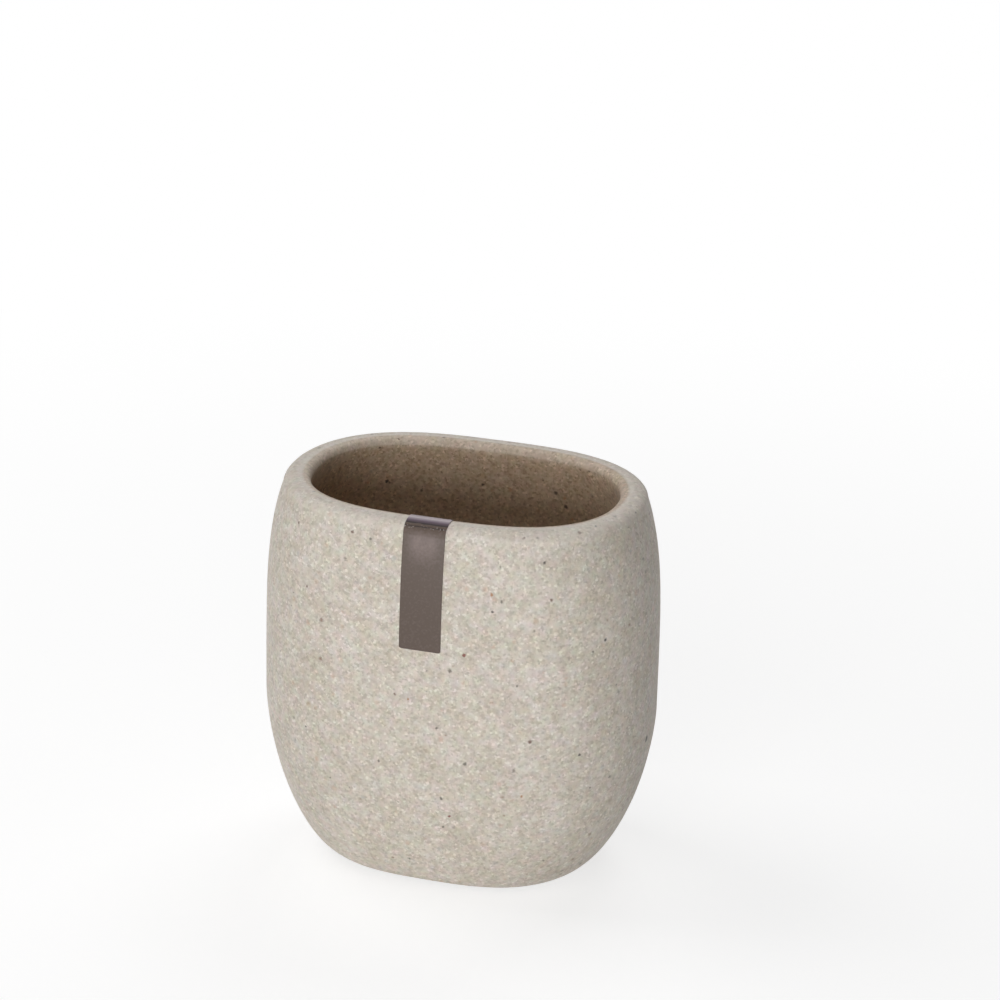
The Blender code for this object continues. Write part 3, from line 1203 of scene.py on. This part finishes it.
@dataclass
class BasePads:
    """The four silicone pads under the base, each on a coat of adhesive.

    Attributes:
        squareness: Power of a pad's section; a high one has a flat face and a tight rounded edge.
        coat_share: Width of the adhesive, of the pad's.
        seam: Gap on each side of the adhesive.
        rows: Facets along a pad's section.
        turns: Facets around a pad.
    """

    squareness: float = 7.0
    coat_share: float = 0.93
    seam: float = 0.00001
    rows: int = 32
    turns: int = 64

    def make_tree(self, material: bpy.types.Material) -> Tree:
        """Make the tree of one pad and its coat, at a named place.

        Args:
            material: Finish of the pad.

        Returns:
            A tree whose named inputs are the pad's sizes and place.
        """
        names = (
            "centre_x", "centre_y", "pad_radius", "pad_bottom", "pad_top",
            "coat_radius", "coat_bottom", "coat_top", "squareness", "merge_distance",
        )
        outputs = {"Geometry": "NodeSocketGeometry"}
        tree, size = new_tree("silicone pad", dict.fromkeys(names, FLOAT), outputs)
        add = partial(add_node, tree)
        place = add(SEPARATE, [add("GeometryNodeInputPosition")]).node.outputs
        tilt = add(MATH, (place["X"], math.pi), operation="MULTIPLY")
        turn = add(MATH, (place["Y"], -2 * math.pi), operation="MULTIPLY")
        power = add(MATH, (2.0, size["squareness"]), operation="DIVIDE")
        sine = add(MATH, [tilt], operation="SINE")
        side = add(MATH, [sine], operation="SIGN")
        rise = add(MATH, [sine], operation="ABSOLUTE")
        rise = add(MATH, (rise, power), operation="POWER")
        rise = add(MATH, (rise, side), operation="MULTIPLY")
        reach = add(MATH, [tilt], operation="COSINE", use_clamp=True)
        reach = add(MATH, (reach, power), operation="POWER")
        joined = add("GeometryNodeJoinGeometry")
        for layer in ("coat", "pad"):
            grid = add(MESH_GRID, (1.0, 1.0, self.rows + 1, self.turns + 1), label=layer)
            radius = add(MATH, (reach, size[layer + "_radius"]), operation="MULTIPLY")
            spot = []
            for way, centre in (("COSINE", "centre_x"), ("SINE", "centre_y")):
                share = add(MATH, [turn], operation=way)
                spot.append(add(MATH, (radius, share, size[centre]), operation="MULTIPLY_ADD"))
            spot.append(add(MAP_RANGE, (rise, -1.0, 1.0, size[layer + "_bottom"], size[layer + "_top"])))
            part = add(SET_POSITION, {"Geometry": grid, "Position": add(COMBINE, spot)})
            tree.links.new(part, joined.node.inputs["Geometry"])
        closing = {"Geometry": joined, "Distance": size["merge_distance"]}
        end_tree(tree, add("GeometryNodeMergeByDistance", closing), material)
        return tree

    def build(self, finish: MilkySilicone, underside: float) -> None:
        """Build the four pads and hand them to the frame.

        Args:
            finish: Finish of the pads.
            underside: Level of the casting's underside.
        """
        tree = self.make_tree(finish.make())
        for corner in ("front_left", "front_right", "back_left", "back_right"):
            node = "base_pad_" + corner
            low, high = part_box(node)
            radius = (high.x - low.x) / 2
            sizes = {
                "centre_x": (low.x + high.x) / 2,
                "centre_y": (low.y + high.y) / 2,
                "pad_radius": radius,
                "pad_bottom": low.z,
                "pad_top": high.z,
                "coat_radius": radius * self.coat_share,
                "coat_bottom": high.z + self.seam,
                "coat_top": underside - self.seam,
                "squareness": self.squareness,
                "merge_distance": self.seam / 10,
            }
            seat(grown("silicone_pad_" + corner, tree, sizes), [node])


@dataclass(frozen=True)
class Viewpoint:
    """The camera, at the photograph's viewing angle.

    Attributes:
        azimuth: Turn about the vertical, in degrees.
        elevation: Angle above the horizon, in degrees.
        roll: Tilt of the camera about its own axis, in degrees.
        distance: Distance along the camera's axis to the middle of the tumbler.
        aside: How far that middle lies right of the axis and below it.
        middle: Height of that middle.
        focal_pixels: Focal length in picture widths' pixels.
        picture: Width of the picture in pixels.
        sensor: Width of the sensor in millimetres.
        clip_shares: Shares of the distance between which the camera sees.
    """

    azimuth: float = 16.609
    elevation: float = 21.561
    roll: float = 1.443
    distance: float = 0.890
    aside: tuple[float, float] = (-0.009662, 0.041489)
    middle: float = 0.050
    focal_pixels: float = 3539.735
    picture: float = 1000.0
    sensor: float = 36.0
    clip_shares: tuple[float, float] = (0.1, 20.0)

    def axes(self) -> Matrix:
        """Work out how the camera is turned.

        Returns:
            Its right, down and forward directions, as the rows of a matrix.
        """
        turn, lift, roll = (math.radians(angle) for angle in (self.azimuth, self.elevation, self.roll))
        forward = Vector(
            (-math.sin(turn) * math.cos(lift), math.cos(turn) * math.cos(lift), -math.sin(lift))
        )
        right = Vector((math.cos(turn), math.sin(turn), 0.0))
        return Matrix.Rotation(roll, 3, "Z") @ Matrix((right, forward.cross(right), forward))

    def place(self) -> Vector:
        """Return the camera's place."""
        offset = Vector((*self.aside, self.distance))
        return Vector((0.0, 0.0, self.middle)) - self.axes().transposed() @ offset

    def ray(self, pixel: tuple[float, float]) -> Vector:
        """Return the direction in which a pixel of the picture looks."""
        across, down = ((part - self.picture / 2) / self.focal_pixels for part in pixel)
        return (self.axes().transposed() @ Vector((across, down, 1.0))).normalized()

    def build(self) -> None:
        """Add the camera to the scene."""
        data = bpy.data.cameras.new("camera")
        data.sensor_width = self.sensor
        data.lens = self.focal_pixels / self.picture * self.sensor
        data.clip_start, data.clip_end = (self.distance * share for share in self.clip_shares)
        camera = bpy.data.objects.new("camera", data)
        bpy.context.scene.collection.objects.link(camera)
        right, down, forward = self.axes()
        turn = Matrix((right, -down, -forward)).transposed()
        camera.matrix_world = Matrix.Translation(self.place()) @ turn.to_4x4()
        bpy.context.scene.camera = camera
        LOG.info("camera: lens %.1f mm", data.lens)


@dataclass(frozen=True)
class Softbox:
    """One soft lamp.

    Attributes:
        name: Its name.
        azimuth: Where it stands, in degrees to the right of the tumbler's front.
        elevation: Height of its middle above the tumbler's, in degrees.
        size: Width and height.
        power: Power in watts.
        distance: Distance from the tumbler.
    """

    name: str
    azimuth: float
    elevation: float
    size: tuple[float, float]
    power: float
    distance: float = 1.0

    def build(self, target: Vector) -> None:
        """Add the lamp, facing its target.

        Args:
            target: Place that it faces, from which its distance counts.
        """
        data = bpy.data.lights.new(self.name, "AREA")
        data.shape = "RECTANGLE"
        data.size, data.size_y = self.size
        data.energy = self.power
        lamp = bpy.data.objects.new(self.name, data)
        bpy.context.scene.collection.objects.link(lamp)
        turn, lift = math.radians(self.azimuth), math.radians(self.elevation)
        way = Vector((math.sin(turn) * math.cos(lift), -math.cos(turn) * math.cos(lift), math.sin(lift)))
        lamp.location = target + way * self.distance
        lamp.rotation_euler = way.to_track_quat("Z", "Y").to_euler()
        lamp.visible_camera = False
        LOG.info("lamp %s: %.2f W", self.name, self.power)


SOFTBOXES = (
    Softbox("front_bank", 4.5, 9.0, (0.7, 0.4), 5.9),
    Softbox("left_fill", -15.0, 40.0, (0.5, 0.25), 0.7),
    Softbox("left_box", -95.0, 55.0, (0.5, 0.5), 2.95),
    Softbox("back_box", 172.0, 55.0, (0.5, 0.5), 2.3),
)


@dataclass(frozen=True)
class Studio:
    """A pale floor under soft boxes, before a white background.

    Attributes:
        floor_size: Width of the floor.
        floor_cells: Cells along each side of it.
        floor_colour: Colour of the floor.
        floor_light: Light that the floor sends back beside the tumbler.
        shadow_share: Part of the floor's own light that shows there; white makes up the rest.
        shadow_reach: Distances between which that part fades out, and the floor is white.
        dim: Strength of the world's own light on what it lights.
        softboxes: The lamps.
    """

    floor_size: float = 6.0
    floor_cells: int = 12
    floor_colour: str = "#f4f4f4"
    floor_light: float = 0.6
    shadow_share: float = 0.5
    shadow_reach: tuple[float, float] = (0.12, 0.45)
    dim: float = 0.04
    softboxes: tuple[Softbox, ...] = SOFTBOXES

    @staticmethod
    def seen(tree: Tree) -> Socket:
        """Tell the rays that show the background, from the camera or by gloss or glass, from the others.

        Args:
            tree: Tree of the floor's material or of the world.

        Returns:
            1 for a ray that shows it, and 0 for one that lights.
        """
        rays = add_node(tree, "ShaderNodeLightPath").node.outputs
        both = add_node(tree, MATH, (rays["Is Camera Ray"], rays["Is Glossy Ray"]), operation="MAXIMUM")
        return add_node(tree, MATH, (both, rays["Is Transmission Ray"]), operation="MAXIMUM")

    def paint_floor(self) -> bpy.types.Material:
        """Make the floor's material, white to the camera but for the shadow round the tumbler.

        Returns:
            The material.
        """
        material = bpy.data.materials.new("pale_floor")
        material.use_nodes = True
        tree = material.node_tree
        tree.nodes.clear()
        add = partial(add_node, tree)
        place = add("ShaderNodeTexCoord", output="Object")
        away = add(VECTOR_MATH, [place], "Value", operation="LENGTH")
        share = add(MAP_RANGE, (away, *self.shadow_reach, self.shadow_share, 0.0), **SMOOTH)
        seen = self.seen(tree)
        kept = add(MAP_RANGE, (seen, 0.0, 1.0, 1.0, share))
        inputs = {"Factor": kept, "A": linear("#000000"), "B": linear(self.floor_colour)}
        paint = add("ShaderNodeBsdfDiffuse", [add(MIX, inputs, **IN_COLOUR)])
        white = add(MATH, (share, -self.floor_light, 1.0), operation="MULTIPLY_ADD")
        strength = add(MATH, (seen, white), operation="MULTIPLY")
        glow = add("ShaderNodeEmission", {"Strength": strength})
        add("ShaderNodeOutputMaterial", [add("ShaderNodeAddShader", (paint, glow))])
        return material

    def build_floor(self) -> None:
        """Add the floor, white round the tumbler and keeping its shadow."""
        shape = bmesh.new()
        cells = self.floor_cells
        bmesh.ops.create_grid(shape, x_segments=cells, y_segments=cells, size=self.floor_size / 2)
        mesh = bpy.data.meshes.new("floor")
        shape.to_mesh(mesh)
        shape.free()
        mesh.materials.append(self.paint_floor())
        floor = bpy.data.objects.new("floor", mesh)
        bpy.context.scene.collection.objects.link(floor)
        LOG.info("floor: %.1f m wide", self.floor_size)

    def build_world(self) -> None:
        """Make the world white where it is seen and dim where it lights."""
        world = bpy.data.worlds.new("white_surround")
        bpy.context.scene.world = world
        world.use_nodes = True
        tree = world.node_tree
        tree.nodes.clear()
        strength = add_node(tree, MAP_RANGE, (self.seen(tree), 0.0, 1.0, self.dim, 1.0))
        light = add_node(tree, "ShaderNodeBackground", {"Strength": strength, "Color": linear("#ffffff")})
        add_node(tree, "ShaderNodeOutputWorld", [light])

    def build(self, target: Vector) -> None:
        """Build the floor, the surround and the lamps.

        Args:
            target: Place that the lamps face.
        """
        bpy.context.scene.view_settings.view_transform = "Standard"
        self.build_floor()
        self.build_world()
        for softbox in self.softboxes:
            softbox.build(target)


# Stray grains by kind: where each shows in the picture, across and down in pixels, and its diameter.
STRAY_GRAINS = {
    SpeckKind.BLACK: (
        (646.5, 738.7, 0.0020), (605.3, 639.7, 0.0009), (595.7, 526.0, 0.0007), (544.5, 562.8, 0.0009),
        (492.2, 611.9, 0.0008), (386.9, 481.2, 0.0011), (635.7, 512.5, 0.0007), (579.6, 754.7, 0.0007),
        (380.0, 447.7, 0.0008), (305.9, 726.4, 0.0005), (349.3, 787.0, 0.0005), (330.0, 777.0, 0.0005),
        (590.0, 788.0, 0.0005),
    ),
    SpeckKind.GREY: (
        (501.3, 601.8, 0.0009), (516.9, 686.2, 0.0007), (464.8, 764.2, 0.0011), (443.2, 826.7, 0.0009),
        (436.5, 728.5, 0.0008), (592.9, 652.0, 0.0008), (378.6, 761.0, 0.0008), (370.5, 538.5, 0.0008),
        (441.0, 798.6, 0.0009),
    ),
    SpeckKind.BROWN: (
        (551.5, 600.0, 0.0009), (579.6, 532.6, 0.0011), (352.4, 531.8, 0.0010), (306.9, 586.3, 0.0008),
        (398.6, 439.1, 0.0008), (394.7, 694.0, 0.0009), (298.8, 522.4, 0.0008), (524.0, 538.0, 0.0008),
        (529.9, 742.0, 0.0012),
    ),
    SpeckKind.RED: ((464.1, 655.4, 0.0010), (449.3, 816.5, 0.0009)),
    SpeckKind.RUST: ((408.5, 699.1, 0.0007), (491.6, 595.0, 0.0009), (521.5, 796.6, 0.0010)),
    SpeckKind.GREEN: ((410.0, 858.6, 0.0009),),
}
SPECKS = [
    Speck(kind, (across, down), diameter)
    for kind, grains in STRAY_GRAINS.items()
    for across, down, diameter in grains
]


def lodge(
    specks: Sequence[Speck], piece: bpy.types.Object, viewpoint: Viewpoint
) -> list[tuple[Speck, Vector]]:
    """Find where each speck lies on the casting.

    Args:
        specks: Specks, by their place in the picture.
        piece: The built casting.
        viewpoint: The camera of that picture.

    Returns:
        Each speck that meets the casting, with its place.
    """
    points = [vertex.co for vertex in piece.data.vertices]
    surface = BVHTree.FromPolygons(points, [tuple(face.vertices) for face in piece.data.polygons])
    start = viewpoint.place()
    found = [(speck, surface.ray_cast(start, viewpoint.ray(speck.pixel))[0]) for speck in specks]
    lodged = [(speck, spot) for speck, spot in found if spot is not None]
    LOG.info("specks: %d of %d lodged", len(lodged), len(specks))
    return lodged


def main() -> None:
    """Build and dress the tumbler, then the studio around it."""
    logging.basicConfig(level=logging.INFO, format="%(name)s: %(message)s")
    viewpoint = Viewpoint()
    viewpoint.build()
    casting = Casting()
    body = casting.build()
    casting.dress(body, SandResin(), lodge(SPECKS, body, viewpoint))
    strip = FilmStrip()
    strip.dress(strip.build(casting), TaupeFilm())
    BasePads().build(MilkySilicone(), casting.base_level)
    Studio().build(Vector((0.0, 0.0, viewpoint.middle)))


if __name__ == "__main__":
    main()
